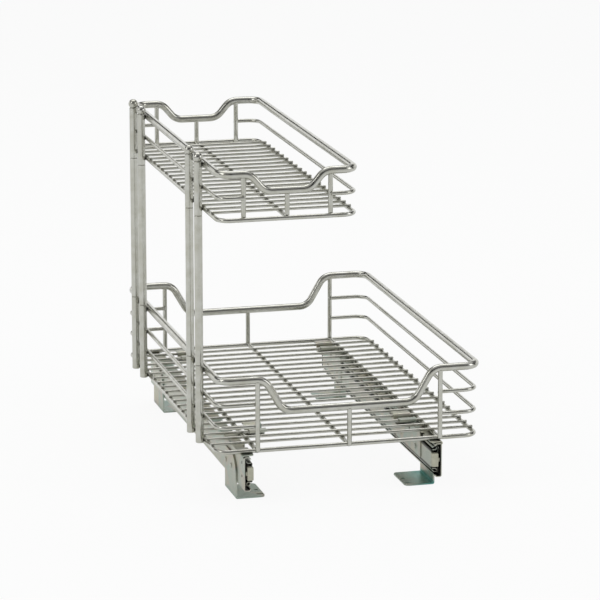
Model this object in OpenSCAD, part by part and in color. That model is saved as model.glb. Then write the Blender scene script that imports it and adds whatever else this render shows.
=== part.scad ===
// Two-tier pull-out basket for a base cabinet, on full-extension ball-bearing slides.
// Millimetres. +X is to the right, +Y to the back of the cabinet and +Z up.
// The origin is the centre of the foot screw holes, on the cabinet floor.

/* [Lower basket] */
// Floor frame width, between wire centres
lower_w = 348.7; // [340:0.1:360]
// Floor frame depth, between wire centres
lower_d = 536; // [520:1:550]
// Front wire of the floor frame, from the origin
lower_front = -272; // [-275:1:-268]
// Height of the top rail above the floor frame
lower_rail_h = 94.5; // [80:0.5:110]
// Height of the lowest side wires above the floor frame
lower_side_h = 32.1; // [30:0.1:36]
// Distance between the two side wires
side_pitch = 29.6; // [25:0.1:32]
// Depth of the scoop in the front and back of the top rail
lower_scoop_h = 43; // [30:1:48]
// Distance between the middles of the scoop's two slopes
lower_scoop_w = 200; // [160:1:205]
// Slope of the scoop's sides in degrees
lower_scoop_angle = 60; // [50:1:65]
// Distance between the uprights
lower_upright_pitch = 122.2; // [110:0.1:125]
// Number of floor crosswires
lower_crosswires = 20; // [10:1:20]
// First crosswire behind the front wire of the floor frame
lower_lead = 28; // [22:0.5:40]
// Distance between crosswires
lower_pitch = 24.7; // [22:0.1:24.8]

/* [Upper basket] */
// Floor frame width, between wire centres
upper_w = 179.8; // [170:0.1:190]
// Floor frame depth, between wire centres
upper_d = 515; // [500:1:520]
// How far the upper basket stands forward of the lower one
upper_overhang = 15.1; // [10:0.1:20]
// Height of the upper floor frame above the lower one
tier_h = 307.4; // [290:0.1:320]
// Height of the top rail above the floor frame
upper_rail_h = 58.1; // [52:0.1:60]
// Height of the middle wire above the floor frame
upper_middle_h = 28.2; // [24:0.1:32]
// Depth of the scoop in the front and back of the top rail
upper_scoop_h = 23; // [20:1:26]
// Distance between the middles of the scoop's two slopes
upper_scoop_w = 78; // [70:1:84]
// Slope of the scoop's sides in degrees
upper_scoop_angle = 50; // [45:1:55]
// Distance between the uprights
upper_upright_pitch = 56.8; // [50:0.1:58]
// Number of floor crosswires
upper_crosswires = 19; // [10:1:19]
// First crosswire behind the front wire of the floor frame
upper_lead = 36; // [22:0.5:40]
// Distance between crosswires
upper_pitch = 24.4; // [22:0.1:24.8]

/* [Wire] */
// Floor frame and support wire diameter
frame_wire = 5.8; // [5:0.1:6]
// Crosswire diameter
crosswire = 4; // [3.5:0.1:4.5]
// Side wire diameter
side_wire = 5.2; // [4.5:0.1:6]
// Upright wire diameter
upright_wire = 6.1; // [5.5:0.1:6.5]
// Top rail tube diameter
rail_tube = 10; // [9:0.1:10.5]
// Corner radius of the thin wires, at their centre
wire_corner = 17; // [12:1:20]
// Corner radius of the top rails, at their centre
rail_corner = 18; // [15:1:22]
// Radius of the scoop bends, at their centre
scoop_bend = 20; // [18:1:21]
// How far welded wires sink into each other
weld = 0.3; // [0.2:0.1:0.5]

/* [Posts] */
// Post tube diameter
post_d = 10.6; // [10:0.1:11]
// Post centre line, from the origin
post_x = -172.6; // [-175:0.1:-170]
// Distance between the two posts of a pair
post_pitch = 50.8; // [45:0.1:55]
// Middle of the front pair
post_front = -180.3; // [-185:0.1:-175]
// Middle of the back pair
post_back = 161.9; // [155:0.1:165]
// Top of the sockets on the lower basket
socket_top = 172.4; // [171:0.1:180]
// Bottom of the stubs on the upper basket
stub_bottom = 370.1; // [360:0.1:372]
// Top of the stubs
stub_top = 440.6; // [439:0.1:442]
// Ball finial diameter
finial_d = 13; // [12:0.1:14]

/* [Slides] */
// Slide length
slide_len = 558.8; // [550:0.1:560]
// Slide height
slide_h = 45.6; // [45:0.1:46]
// Outer faces of the slides, from the origin
slide_x = 132.65; // [130:0.05:134]
// Front end of the slides, from the origin
slide_front = -284.3; // [-286:0.1:-283]
// Lower edge of the slides above the cabinet floor
slide_z = 21; // [18:0.1:24]
// Ball diameter
ball_d = 3; // [2.8:0.1:3]
// Balls in one row of a cage
balls_per_row = 8; // [4:1:10]

/* [Brackets] */
// Foot length along the slide
foot_len = 59; // [54:1:62]
// Foot height
foot_h = 57; // [50:1:60]
// Width of the foot plate on the cabinet floor
foot_w = 40; // [36:1:42]
// Distance between the screw holes of the front and back feet
foot_pitch = 433; // [420:1:440]
// Distance between the screw holes of the left and right feet
foot_hole_pitch = 200; // [190:1:210]
// Foot screw hole diameter
foot_hole = 5; // [4:0.1:6]
// Inner edge of the left carrier's wire seats, from the origin
left_seat = -81; // [-84:1:-78]
// Inner edge of the right carrier's wire seats, from the origin
right_seat = 99; // [96:0.5:100]

/* [Hidden] */
$fn = 48;
// How far cutters pass through what they cut
through = 1;
// How far straight runs reach into bends, and how much thinner they are
run_in = 0.3;
hair = 0.03;

// Sheet metal
slide_t = 1.2;
carrier_t = 1.4;
foot_t = 2;
clip_t = 1.4;

// Wires of both baskets
frame_r = frame_wire / 2;
crosswire_r = crosswire / 2;
side_r = side_wire / 2;
upright_r = upright_wire / 2;
rail_r = rail_tube / 2;
post_r = post_d / 2;
crosswire_sink = 1.2;
crosswire_lift = frame_r + crosswire_r - crosswire_sink;
crosswire_overlap = 2.4;
upright_offset = 4.7;
upright_below = 1;
rail_offset = 2.7;
upright_under_rail = 2.5;
frame_left = post_x + post_r + frame_r - weld;
side_left = post_x + post_r + side_r - weld;
rail_left = post_x + post_r + rail_r - weld;

// Heights
carrier_gap = 0.5;
carrier_bottom = slide_z + slide_h + carrier_gap;
carrier_top = carrier_bottom + carrier_t;
carrier_weld = 0.1;
lower_z = carrier_top + frame_r - carrier_weld;
upper_z = lower_z + tier_h;
lower_side_heights = [lower_side_h, lower_side_h + side_pitch];

// Lower basket places
lower_right = frame_left + lower_w;
lower_back = lower_front + lower_d;
lower_mid = (frame_left + lower_right) / 2;
lower_first = lower_front + lower_lead;

// Upper basket places
upper_front = lower_front - upper_overhang;
upper_right = frame_left + upper_w;
upper_back = upper_front + upper_d;
upper_mid = (frame_left + upper_right) / 2;
upper_first = upper_front + upper_lead;

// Posts
post_ys = [for (y = [post_front, post_back], s = [-0.5, 0.5]) y + s * post_pitch];
post_bottom = 68.4;
post_wall = 1;
socket_floor = 2;
spigot_fit = 0.08;
spigot_r = post_r - post_wall - spigot_fit;
spigot_len = 18;
spigot_wall = 0.9;
finial_rise = 5.4;
finial_neck_r = 4.3;
finial_spigot_len = 10;

// Slide section, from the outer face inwards and from the lower edge up
ball_r = ball_d / 2;
race_gap = 0.3;
race_r = ball_r + race_gap;
race_out = race_r + slide_t;
outer_ball = [6.3, slide_h - race_out];
middle_web = 2.4;
middle_top = outer_ball.y - race_r;
inner_ball = [7.6, middle_top - race_out];
inner_top = inner_ball.y - race_r;
slide_w = 12.7;
inner_face = slide_x - slide_w;
outer_corner = 2.4;
member_corner = 1.4;
outer_lip = 0.2;
middle_lip = 0.2;
inner_lip = 0.6;

// Ball cages: web thickness, and lower face, thickness and end of the upper arm
outer_cage_t = 0.6;
outer_arm_z = outer_ball.y - 0.3;
outer_arm_end = outer_ball.x + 0.9;
outer_pocket_r = ball_r - 0.05;
inner_cage_t = 0.4;
inner_arm_z = inner_ball.y + 1.05;
inner_arm_t = 0.45;
inner_arm_end = inner_ball.x + 0.4;
inner_pocket_r = 0.8;
cage_margin = 10;

// Slide members along Y
slide_back = slide_front + slide_len;
bumper_len = 7;
middle_front = slide_front + bumper_len + 1;
inner_front = slide_front + bumper_len;
rear_stop_len = 8.5;
rear_stop_w = 9.4;
rear_stop_inset = 8;
middle_back = slide_back - rear_stop_len - 1.5;
inner_back = slide_back - rear_stop_len - 4;
spare_hole_zs = [39, 57];
spare_hole_y = slide_front + 12;
cage_len = 240;
cage_mid = (slide_front + slide_back) / 2;
bumper_h = 17.4;
bumper_point_h = 5;
bumper_shoulder_x = 4.7;
bumper_tail_x = 6.5;

// Carriers and clips
carrier_in = inner_face - carrier_t;
lip_gap = 0.35;
carrier_out = slide_x + lip_gap + carrier_t;
carrier_front = slide_front + 2.5;
carrier_back = slide_back - 3;
carrier_lip = 2.6;
carrier_corner = 5;
carrier_notch_r = 2.6;
carrier_notch_len = 14;
tab_bottom = 34;
tab_spans = [[-232, -120], [160, 253]];
tab_relief_r = 3;
tab_relief_z = 62.5;
seat_len = 34;
clip_seats = [left_seat, -right_seat];
clip_wires = [2, lower_crosswires - 2];
clip_ys = [for (k = clip_wires) lower_first + (k + 0.5) * lower_pitch];
clip_w = 23.5;
clip_reach = 22;
clip_gap = 0.15;
clip_hem = 1.5;
clip_lift = 2.6;
clip_margin = 0.5;
clip_screw_r = 1.9;
clip_screw_tail = 3;
clip_head_h = 2.4;
clip_head_r = 3.4;
clip_head_top_r = 2.6;
crosswire_z = lower_z + crosswire_lift;
clip_well_z = carrier_top + clip_lift;

// Feet
foot_ys = [-foot_pitch / 2, foot_pitch / 2];
foot_x = slide_x + foot_t;
foot_corner = 25;
foot_edge = 6;
foot_slot_len = 10;
foot_slot_w = 4.5;
foot_slot_ahead = 20;
rivet_r = 2;
rivet_fit = 0.05;
rivet_head_r = 3.6;
rivet_head_h = 1.3;
rivet_head_top_r = 3;
foot_rivet_z = 39.2;
foot_rivet_ys = [-5, 24];
carrier_rivet_z = slide_z + slide_h / 2;
carrier_rivet_inset = 22;
carrier_rivet_ys = [
    for (span = tab_spans) each [span[0] + carrier_rivet_inset, span[1] - carrier_rivet_inset]
];

// ---- Wire forming ----

// A wire is fed along +X and bent after each feed. A step is
// [feed, bend radius, bend angle, roll]: roll 0 bends to the left, 90 upwards and -90 downwards.
// Each straight run is a hair thinner than the bends and starts and ends just inside them.
module formed_wire(r, steps, closed = false, i = 0) {
    if (i < len(steps)) {
        feed = steps[i][0];
        radius = steps[i][1];
        angle = steps[i][2];
        roll = steps[i][3];
        from = closed || i > 0 ? run_in : 0;
        to = angle > 0 ? run_in : 0;
        translate([-from, 0, 0]) rotate([0, 90, 0]) cylinder(h = from + feed + to, r = r - hair);
        translate([feed, 0, 0]) rotate([roll, 0, 0]) {
            if (angle > 0)
                translate([0, radius, 0]) rotate([0, 0, -90])
                    rotate_extrude(angle = angle) translate([radius, 0]) circle(r);
            translate([radius * sin(angle), radius * (1 - cos(angle)), 0])
                rotate([0, 0, angle]) rotate([-roll, 0, 0])
                    formed_wire(r, steps, closed, i + 1);
        }
    }
}

// Closed floor frame with four equal corners, drawn from its front left corner
module frame_loop(left, right, front, back, z) {
    across = right - left - 2 * wire_corner;
    deep = back - front - 2 * wire_corner;
    corner = [wire_corner, 90, 0];
    side = concat([across], corner);
    end = concat([deep], corner);
    translate([left + wire_corner, front, z]) formed_wire(frame_r, [side, end, side, end], true);
}

function slope_len(h, angle) = (h - 2 * scoop_bend * (1 - cos(angle))) / sin(angle);
function slope_w(h, angle) = 2 * scoop_bend * sin(angle) + slope_len(h, angle) * cos(angle);

// Steps of one end of a top rail: corner to scoop, down, across, up and on to the next corner
function scoop_steps(lead, flat, tail, h, angle) = [
    [lead, scoop_bend, angle, -90],
    [slope_len(h, angle), scoop_bend, angle, 90],
    [flat, scoop_bend, angle, 90],
    [slope_len(h, angle), scoop_bend, angle, -90],
    [tail, rail_corner, 90, 0]
];

// Closed top rail, scooped at the front and the back around mid
module top_rail_loop(right, front, back, z, mid, scoop_w, scoop_h, angle) {
    half = (scoop_w + slope_w(scoop_h, angle)) / 2;
    flat = scoop_w - slope_w(scoop_h, angle);
    left_run = mid - half - rail_left - rail_corner;
    right_run = right - rail_corner - mid - half;
    side = [back - front - 2 * rail_corner, rail_corner, 90, 0];
    translate([rail_left + rail_corner, front, z])
        formed_wire(rail_r, concat(
            scoop_steps(left_run, flat, right_run, scoop_h, angle), [side],
            scoop_steps(right_run, flat, left_run, scoop_h, angle), [side]), true);
}

// Open side wire that runs from an upright round one side to the opposite upright
module side_loop_left(upright, front, back, z) {
    run = upright - side_left - wire_corner;
    deep = back - front - 2 * wire_corner;
    translate([upright, back, z]) rotate([0, 0, 180])
        formed_wire(side_r, [[run, wire_corner, 90, 0], [deep, wire_corner, 90, 0], [run, 0, 0, 0]]);
}

module side_loop_right(upright, right, front, back, z) {
    run = right - wire_corner - upright;
    deep = back - front - 2 * wire_corner;
    translate([upright, front, z])
        formed_wire(side_r, [[run, wire_corner, 90, 0], [deep, wire_corner, 90, 0], [run, 0, 0, 0]]);
}

module crosswire_row(right, first, count, pitch, z) {
    for (k = [0 : count - 1])
        translate([frame_left - crosswire_overlap, first + k * pitch, z + crosswire_lift])
            rotate([0, 90, 0]) cylinder(h = right - frame_left + 2 * crosswire_overlap, r = crosswire_r);
}

module support_run(x, front, back, z) {
    translate([x, front, z]) rotate([-90, 0, 0]) cylinder(h = back - front, r = frame_r);
}

module upright(x, y, bottom, top) {
    translate([x, y, bottom]) cylinder(h = top - bottom, r = upright_r);
}

// Three uprights: the middle one ends under the bottom of the scoop
module upright_row(mid, pitch, y, bottom, top, scoop_h) {
    for (k = [-1, 0, 1])
        upright(mid + k * pitch, y, bottom, top - (k == 0 ? scoop_h : 0));
}

// ---- Lower basket ----

module lower_frame_wire() {
    color("silver") frame_loop(frame_left, lower_right, lower_front, lower_back, lower_z);
}

module lower_crosswires() {
    color("silver") crosswire_row(lower_right, lower_first, lower_crosswires, lower_pitch, lower_z);
}

module lower_support_wires() {
    color("silver")
        for (k = [-1, 0, 1])
            support_run(lower_mid + k * lower_upright_pitch, lower_front, lower_back, lower_z);
}

module lower_uprights() {
    top = lower_z + lower_rail_h - upright_under_rail;
    color("silver")
        for (y = [lower_front - upright_offset, lower_back + upright_offset])
            upright_row(lower_mid, lower_upright_pitch, y, lower_z, top, lower_scoop_h);
}

module lower_side_wires_left() {
    color("silver")
        for (h = lower_side_heights)
            side_loop_left(lower_mid - lower_upright_pitch, lower_front, lower_back, lower_z + h);
}

module lower_side_wires_right() {
    color("silver")
        for (h = lower_side_heights)
            side_loop_right(lower_mid + lower_upright_pitch, lower_right,
                lower_front, lower_back, lower_z + h);
}

module lower_top_rail() {
    color("gainsboro")
        top_rail_loop(lower_right, lower_front - rail_offset, lower_back + rail_offset,
            lower_z + lower_rail_h, lower_mid, lower_scoop_w, lower_scoop_h, lower_scoop_angle);
}

// ---- Upper basket ----

module upper_frame_wire() {
    color("silver") frame_loop(frame_left, upper_right, upper_front, upper_back, upper_z);
}

module upper_crosswires() {
    color("silver") crosswire_row(upper_right, upper_first, upper_crosswires, upper_pitch, upper_z);
}

module upper_support_wire() {
    color("silver") support_run(upper_mid, upper_front, upper_back, upper_z);
}

module upper_uprights() {
    top = upper_z + upper_rail_h - upright_under_rail;
    color("silver")
        for (y = [upper_front + upright_offset, upper_back - upright_offset])
            upright_row(upper_mid, upper_upright_pitch, y, upper_z - upright_below, top, upper_scoop_h);
}

module upper_side_wire_left() {
    color("silver")
        side_loop_left(upper_mid - upper_upright_pitch, upper_front, upper_back, upper_z + upper_middle_h);
}

module upper_side_wire_right() {
    color("silver")
        side_loop_right(upper_mid + upper_upright_pitch, upper_right,
            upper_front, upper_back, upper_z + upper_middle_h);
}

module upper_top_rail() {
    color("gainsboro")
        top_rail_loop(upper_right, upper_front + rail_offset, upper_back - rail_offset,
            upper_z + upper_rail_h, upper_mid, upper_scoop_w, upper_scoop_h, upper_scoop_angle);
}

// ---- Posts ----

// Socket welded to the lower basket: a tube with a closed lower end
module lower_post_sockets() {
    color("lightgray")
        for (y = post_ys)
            translate([post_x, y, post_bottom]) difference() {
                cylinder(h = socket_top - post_bottom, r = post_r);
                translate([0, 0, socket_floor]) cylinder(h = socket_top, r = post_r - post_wall);
            }
}

module upper_post_stubs() {
    color("lightgray")
        for (y = post_ys)
            translate([post_x, y, stub_bottom]) difference() {
                cylinder(h = stub_top - stub_bottom, r = post_r);
                translate([0, 0, -through])
                    cylinder(h = stub_top - stub_bottom + 2 * through, r = post_r - post_wall);
            }
}

// Tube with a reduced spigot at each end, which plugs into the socket and the stub
module post_tube(k) {
    color("lightgray") translate([post_x, post_ys[k], 0]) difference() {
        union() {
            translate([0, 0, socket_top]) cylinder(h = stub_bottom - socket_top, r = post_r);
            translate([0, 0, socket_top - spigot_len])
                cylinder(h = stub_bottom - socket_top + 2 * spigot_len, r = spigot_r);
        }
        translate([0, 0, socket_top - spigot_len - through])
            cylinder(h = stub_bottom - socket_top + 2 * (spigot_len + through), r = spigot_r - spigot_wall);
    }
}

module post_finials() {
    color("gainsboro")
        for (y = post_ys)
            translate([post_x, y, stub_top]) {
                translate([0, 0, -finial_spigot_len]) cylinder(h = finial_spigot_len, r = spigot_r);
                cylinder(h = finial_rise, r = finial_neck_r);
                translate([0, 0, finial_rise]) sphere(d = finial_d);
            }
}

// ---- Slides ----

module along_y(front, back) {
    translate([0, back, 0]) rotate([90, 0, 0]) linear_extrude(back - front) children();
}

// Draws a part of the left slide, or of the right one when side is 1
module on_slide(side) {
    mirror([side > 0 ? 1 : 0, 0, 0]) translate([-slide_x, 0, slide_z]) children();
}

module both_edges() {
    children();
    translate([0, slide_h]) mirror([0, 1]) children();
}

// Quarter of a ring: quadrant 0 is upper right, 1 upper left, 2 lower left, 3 lower right
module quarter_ring(centre, r_in, r_out, quadrant) {
    translate(centre) rotate(90 * quadrant) intersection() {
        difference() {
            circle(r_out);
            circle(r_in);
        }
        square(r_out + 1);
    }
}

// C-shaped outer member: web, flanges and raceways curled round the outer balls
module outer_section() {
    translate([0, outer_corner]) square([slide_t, slide_h - 2 * outer_corner]);
    both_edges() {
        quarter_ring([outer_corner, slide_h - outer_corner], outer_corner - slide_t, outer_corner, 1);
        translate([outer_corner, slide_h - slide_t]) square([outer_ball.x - outer_corner, slide_t]);
        quarter_ring(outer_ball, race_r, race_out, 0);
        translate(outer_ball + [race_r, -outer_lip]) square([slide_t, outer_lip]);
    }
}

// Middle member: its flanges carry the outer balls outside and the inner balls inside
module middle_section() {
    corner_x = middle_web + member_corner;
    corner_z = middle_top - member_corner;
    translate([middle_web, slide_h - corner_z]) square([slide_t, 2 * corner_z - slide_h]);
    both_edges() {
        quarter_ring([corner_x, corner_z], member_corner - slide_t, member_corner, 1);
        translate([corner_x, middle_top - slide_t]) square([inner_ball.x - corner_x, slide_t]);
        quarter_ring(inner_ball, race_r, race_out, 0);
        translate(inner_ball + [race_r, -middle_lip]) square([slide_t, middle_lip]);
    }
}

// Inner member: web towards the basket, with raceways curled outwards under the inner balls
module inner_section() {
    corner_x = slide_w - member_corner;
    corner_z = inner_top - member_corner;
    translate([slide_w - slide_t, slide_h - corner_z]) square([slide_t, 2 * corner_z - slide_h]);
    both_edges() {
        quarter_ring([corner_x, corner_z], member_corner - slide_t, member_corner, 0);
        translate([inner_ball.x, inner_top - slide_t]) square([corner_x - inner_ball.x, slide_t]);
        quarter_ring(inner_ball, race_r, race_out, 2);
        translate(inner_ball - [race_out, 0]) square([slide_t, inner_lip]);
    }
}

module outer_member(side) {
    color("darkseagreen") difference() {
        on_slide(side) along_y(slide_front, slide_back) outer_section();
        for (y = foot_ys, dy = foot_rivet_ys)
            web_hole(side, y + dy, foot_rivet_z, rivet_r + rivet_fit);
        for (z = spare_hole_zs)
            web_hole(side, spare_hole_y, z, rivet_r);
    }
}

// Round hole across the outer web of a slide
module web_hole(side, y, z, r) {
    mirror([side > 0 ? 1 : 0, 0, 0]) translate([-foot_x - through, y, z])
        rotate([0, 90, 0]) cylinder(h = foot_t + slide_t + 2 * through, r = r);
}

module middle_member(side) {
    color("gray")
        on_slide(side) along_y(middle_front, middle_back) middle_section();
}

module inner_member(side) {
    color("silver") difference() {
        on_slide(side) along_y(inner_front, inner_back) inner_section();
        for (y = carrier_rivet_ys)
            tab_hole(side, y);
    }
}

// Round hole across the inner web of a slide and the carrier tab on it
module tab_hole(side, y) {
    mirror([side > 0 ? 1 : 0, 0, 0]) translate([-carrier_in + through, y, carrier_rivet_z])
        rotate([0, -90, 0]) cylinder(h = carrier_t + slide_t + 2 * through, r = rivet_r + rivet_fit);
}

// Strip that holds a row of balls at its upper and its lower edge
module cage(side, web_x, web_t, arm_z, arm_t, arm_end, ball_x, pocket_r) {
    high = arm_z + arm_t;
    low = slide_h - high;
    color("slategray") on_slide(side) difference() {
        along_y(cage_mid - cage_len / 2, cage_mid + cage_len / 2)
            polygon([[web_x, low], [arm_end, low], [arm_end, low + arm_t], [web_x + web_t, low + arm_t],
                [web_x + web_t, arm_z], [arm_end, arm_z], [arm_end, high], [web_x, high]]);
        for (y = ball_ys(), z = [arm_z, low])
            translate([ball_x, y, z - through]) cylinder(h = arm_t + 2 * through, r = pocket_r);
    }
}

function ball_ys() = [
    for (k = [0 : balls_per_row - 1])
        cage_mid + (k - (balls_per_row - 1) / 2) * (cage_len - 2 * cage_margin) / (balls_per_row - 1)
];

module ball_rows(side, ball) {
    color("white") on_slide(side)
        for (y = ball_ys(), z = [ball.y, slide_h - ball.y])
            translate([ball.x, y, z]) sphere(r = ball_r);
}

module outer_cage(side) {
    cage(side, slide_t + race_gap, outer_cage_t, outer_arm_z, outer_cage_t, outer_arm_end,
        outer_ball.x, outer_pocket_r);
}

module inner_cage(side) {
    cage(side, middle_web + slide_t + race_gap, inner_cage_t, inner_arm_z, inner_arm_t, inner_arm_end,
        inner_ball.x, inner_pocket_r);
}

// Plug on the front end of the inner member, pointed towards the outer web
module front_bumper(side) {
    mid = slide_h / 2;
    half = bumper_h / 2;
    point = bumper_point_h / 2;
    color("wheat") on_slide(side) {
        along_y(slide_front, inner_front)
            polygon([[bumper_shoulder_x, mid - half], [slide_w, mid - half], [slide_w, mid + half],
                [bumper_shoulder_x, mid + half], [middle_web, mid + point], [middle_web, mid - point]]);
        along_y(inner_front, inner_front + 2 * bumper_len)
            translate([bumper_tail_x, mid - half]) square([slide_w - slide_t - bumper_tail_x, bumper_h]);
    }
}

// Rubber stop between the flanges at the back end of the outer member
module rear_bumper(side) {
    color("dimgray") on_slide(side)
        along_y(slide_back - rear_stop_len, slide_back)
            translate([slide_t, rear_stop_inset]) square([rear_stop_w, slide_h - 2 * rear_stop_inset]);
}

// ---- Carriers between the inner members and the basket ----

function clip_x(seat) = seat - clip_margin - clip_w / 2;

// Left carrier: flange over the slide with a lip outside, tabs down the inner face, and seats
module carrier_shape(seat) {
    bend = 2;
    difference() {
        union() {
            along_y(carrier_front, carrier_back) {
                translate([-carrier_out + bend, carrier_bottom])
                    square([carrier_out - carrier_in - bend, carrier_t]);
                quarter_ring([-carrier_out + bend, carrier_top - bend], bend - carrier_t, bend, 1);
                translate([-carrier_out, carrier_top - carrier_t - carrier_lip])
                    square([carrier_t, carrier_lip + carrier_t - bend]);
            }
            for (span = tab_spans)
                along_y(span[0], span[1])
                    translate([-inner_face, tab_bottom]) square([carrier_t, carrier_top - tab_bottom]);
            for (y = clip_ys)
                translate([-carrier_in - 1, y - seat_len / 2, carrier_bottom])
                    cube([carrier_in + 1 + seat, seat_len, carrier_t]);
        }
        translate([0, 0, carrier_bottom - through]) linear_extrude(carrier_t + 2 * through) {
            // Rounded inner corners of the flange
            translate([-carrier_in - carrier_corner, carrier_back - carrier_corner])
                corner_waste(carrier_corner);
            translate([-carrier_in - carrier_corner, carrier_front + carrier_corner])
                mirror([0, 1]) corner_waste(carrier_corner);
            // Relief notches from each end of a tab along the flange
            for (span = tab_spans, s = [0, 1])
                translate([-inner_face, span[s] + (s - 0.5) * (carrier_notch_len - carrier_notch_r)])
                    relief_notch(carrier_notch_len);
            for (y = clip_ys)
                translate([clip_x(seat), y]) circle(clip_screw_r + rivet_fit);
        }
        // Relief holes in the tabs under the seats
        for (y = clip_ys)
            translate([-inner_face - through, y, tab_relief_z]) rotate([0, 90, 0])
                cylinder(h = carrier_t + 2 * through, r = tab_relief_r);
    }
}

// Slot along Y with round ends
module relief_notch(length) {
    straight = length - 2 * carrier_notch_r;
    square([2 * carrier_notch_r, straight], center = true);
    for (s = [-0.5, 0.5]) translate([0, s * straight]) circle(carrier_notch_r);
}

module carrier(side, seat) {
    color("darkkhaki") difference() {
        mirror([side > 0 ? 1 : 0, 0, 0]) carrier_shape(seat);
        for (y = carrier_rivet_ys)
            tab_hole(side, y);
    }
}

// Rivet with its head on the face at x = 0 and its shank along +X
module rivet(shank) {
    rotate([0, 90, 0]) {
        cylinder(h = shank, r = rivet_r);
        translate([0, 0, -rivet_head_h])
            cylinder(h = rivet_head_h, r1 = rivet_head_top_r, r2 = rivet_head_r);
    }
}

module carrier_rivets() {
    color("silver")
        for (side = [0, 1], y = carrier_rivet_ys)
            mirror([side, 0, 0]) translate([-carrier_in, y, carrier_rivet_z])
                rotate([0, 0, 180]) rivet(carrier_t + slide_t);
}

// Hat-shaped clip over the seat of a carrier: a screwed-down well between two crosswires and a
// hemmed wing over each of them
module wire_clip(side, seat, y) {
    hook_r = crosswire_r + clip_gap;
    wall = lower_pitch / 2 - hook_r - clip_t;
    wing_z = crosswire_z + hook_r;
    color("khaki") mirror([side, 0, 0]) translate([clip_x(seat), y, 0]) difference() {
        rotate([90, 0, 90]) translate([0, 0, -clip_w / 2]) linear_extrude(clip_w)
            for (s = [0, 1]) mirror([s, 0]) {
                // Half of the well, lifted off the seat
                translate([0, clip_well_z]) square([wall + clip_t, clip_t]);
                translate([wall, clip_well_z]) square([clip_t, crosswire_z - clip_well_z]);
                quarter_ring([lower_pitch / 2, crosswire_z], hook_r, hook_r + clip_t, 1);
                // Wing
                translate([lower_pitch / 2, wing_z])
                    square([clip_reach - lower_pitch / 2, clip_t]);
                translate([clip_reach - clip_t, wing_z - clip_hem]) square([clip_t, clip_hem + clip_t]);
            }
        translate([0, 0, clip_well_z - through])
            cylinder(h = clip_t + 2 * through, r = clip_screw_r + rivet_fit);
    }
}

module clip_screw() {
    bottom = carrier_bottom - clip_screw_tail;
    head = clip_well_z + clip_t;
    translate([0, 0, head]) cylinder(h = clip_head_h, r1 = clip_head_r, r2 = clip_head_top_r);
    translate([0, 0, bottom]) cylinder(h = head - bottom, r = clip_screw_r);
}

module clip_screws() {
    color("white")
        for (side = [0, 1], y = clip_ys)
            mirror([side, 0, 0]) translate([clip_x(clip_seats[side]), y, 0]) clip_screw();
}

// ---- Feet ----

// Square corner minus a circle: what a rounded corner of radius r takes away
module corner_waste(r) {
    difference() {
        square(r + 1);
        circle(r);
    }
}

// Left foot: a plate on the cabinet floor, bent up along the outer web of the slide
module foot(side, y) {
    bend = 2.6;
    half = foot_len / 2;
    color("darkseagreen") difference() {
        mirror([side > 0 ? 1 : 0, 0, 0]) translate([-foot_x, y, 0]) difference() {
            along_y(-half, half) {
                translate([0, bend]) square([foot_t, foot_h - bend]);
                quarter_ring([bend, bend], bend - foot_t, bend, 2);
                translate([bend, 0]) square([foot_w - bend, foot_t]);
            }
            // Rounded top front corner of the upright flange
            translate([-through, foot_corner - half, foot_h - foot_corner])
                rotate([90, 0, 90]) linear_extrude(foot_t + 2 * through)
                    mirror([1, 0]) corner_waste(foot_corner);
            // Rounded free corners of the floor plate
            for (s = [0, 1]) mirror([0, s, 0])
                translate([foot_w - foot_edge, half - foot_edge, -through])
                    linear_extrude(foot_t + 2 * through) corner_waste(foot_edge);
            translate([foot_x - foot_hole_pitch / 2, 0, -through])
                cylinder(h = foot_t + 2 * through, d = foot_hole);
            translate([foot_x - foot_hole_pitch / 2, -foot_slot_ahead, -through])
                linear_extrude(foot_t + 2 * through) slot();
        }
        for (dy = foot_rivet_ys)
            web_hole(side, y + dy, foot_rivet_z, rivet_r + rivet_fit);
    }
}

module slot() {
    reach = (foot_slot_len - foot_slot_w) / 2;
    square([2 * reach, foot_slot_w], center = true);
    for (s = [-1, 1]) translate([s * reach, 0]) circle(d = foot_slot_w);
}

module foot_rivets() {
    color("silver")
        for (side = [0, 1], y = foot_ys, dy = foot_rivet_ys)
            mirror([side, 0, 0]) translate([-foot_x, y + dy, foot_rivet_z]) rivet(foot_t + slide_t);
}

// ---- Assembly ----

lower_frame_wire();
lower_crosswires();
lower_support_wires();
lower_uprights();
lower_side_wires_left();
lower_side_wires_right();
lower_top_rail();
lower_post_sockets();
upper_frame_wire();
upper_crosswires();
upper_support_wire();
upper_uprights();
upper_side_wire_left();
upper_side_wire_right();
upper_top_rail();
upper_post_stubs();
post_tube(0);  // post_tube_1
post_tube(1);  // post_tube_2
post_tube(2);  // post_tube_3
post_tube(3);  // post_tube_4
post_finials();
carrier(0, clip_seats[0]);  // carrier_left
carrier(1, clip_seats[1]);  // carrier_right
carrier_rivets();
wire_clip(0, clip_seats[0], clip_ys[0]);  // wire_clip_front_left
wire_clip(1, clip_seats[1], clip_ys[0]);  // wire_clip_front_right
wire_clip(0, clip_seats[0], clip_ys[1]);  // wire_clip_back_left
wire_clip(1, clip_seats[1], clip_ys[1]);  // wire_clip_back_right
clip_screws();
outer_member(0);  // outer_member_left
outer_member(1);  // outer_member_right
middle_member(0);  // middle_member_left
middle_member(1);  // middle_member_right
inner_member(0);  // inner_member_left
inner_member(1);  // inner_member_right
outer_cage(0);  // outer_cage_left
outer_cage(1);  // outer_cage_right
ball_rows(0, outer_ball);  // outer_balls_left
ball_rows(1, outer_ball);  // outer_balls_right
inner_cage(0);  // inner_cage_left
inner_cage(1);  // inner_cage_right
ball_rows(0, inner_ball);  // inner_balls_left
ball_rows(1, inner_ball);  // inner_balls_right
front_bumper(0);  // front_bumper_left
front_bumper(1);  // front_bumper_right
rear_bumper(0);  // rear_bumper_left
rear_bumper(1);  // rear_bumper_right
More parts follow.
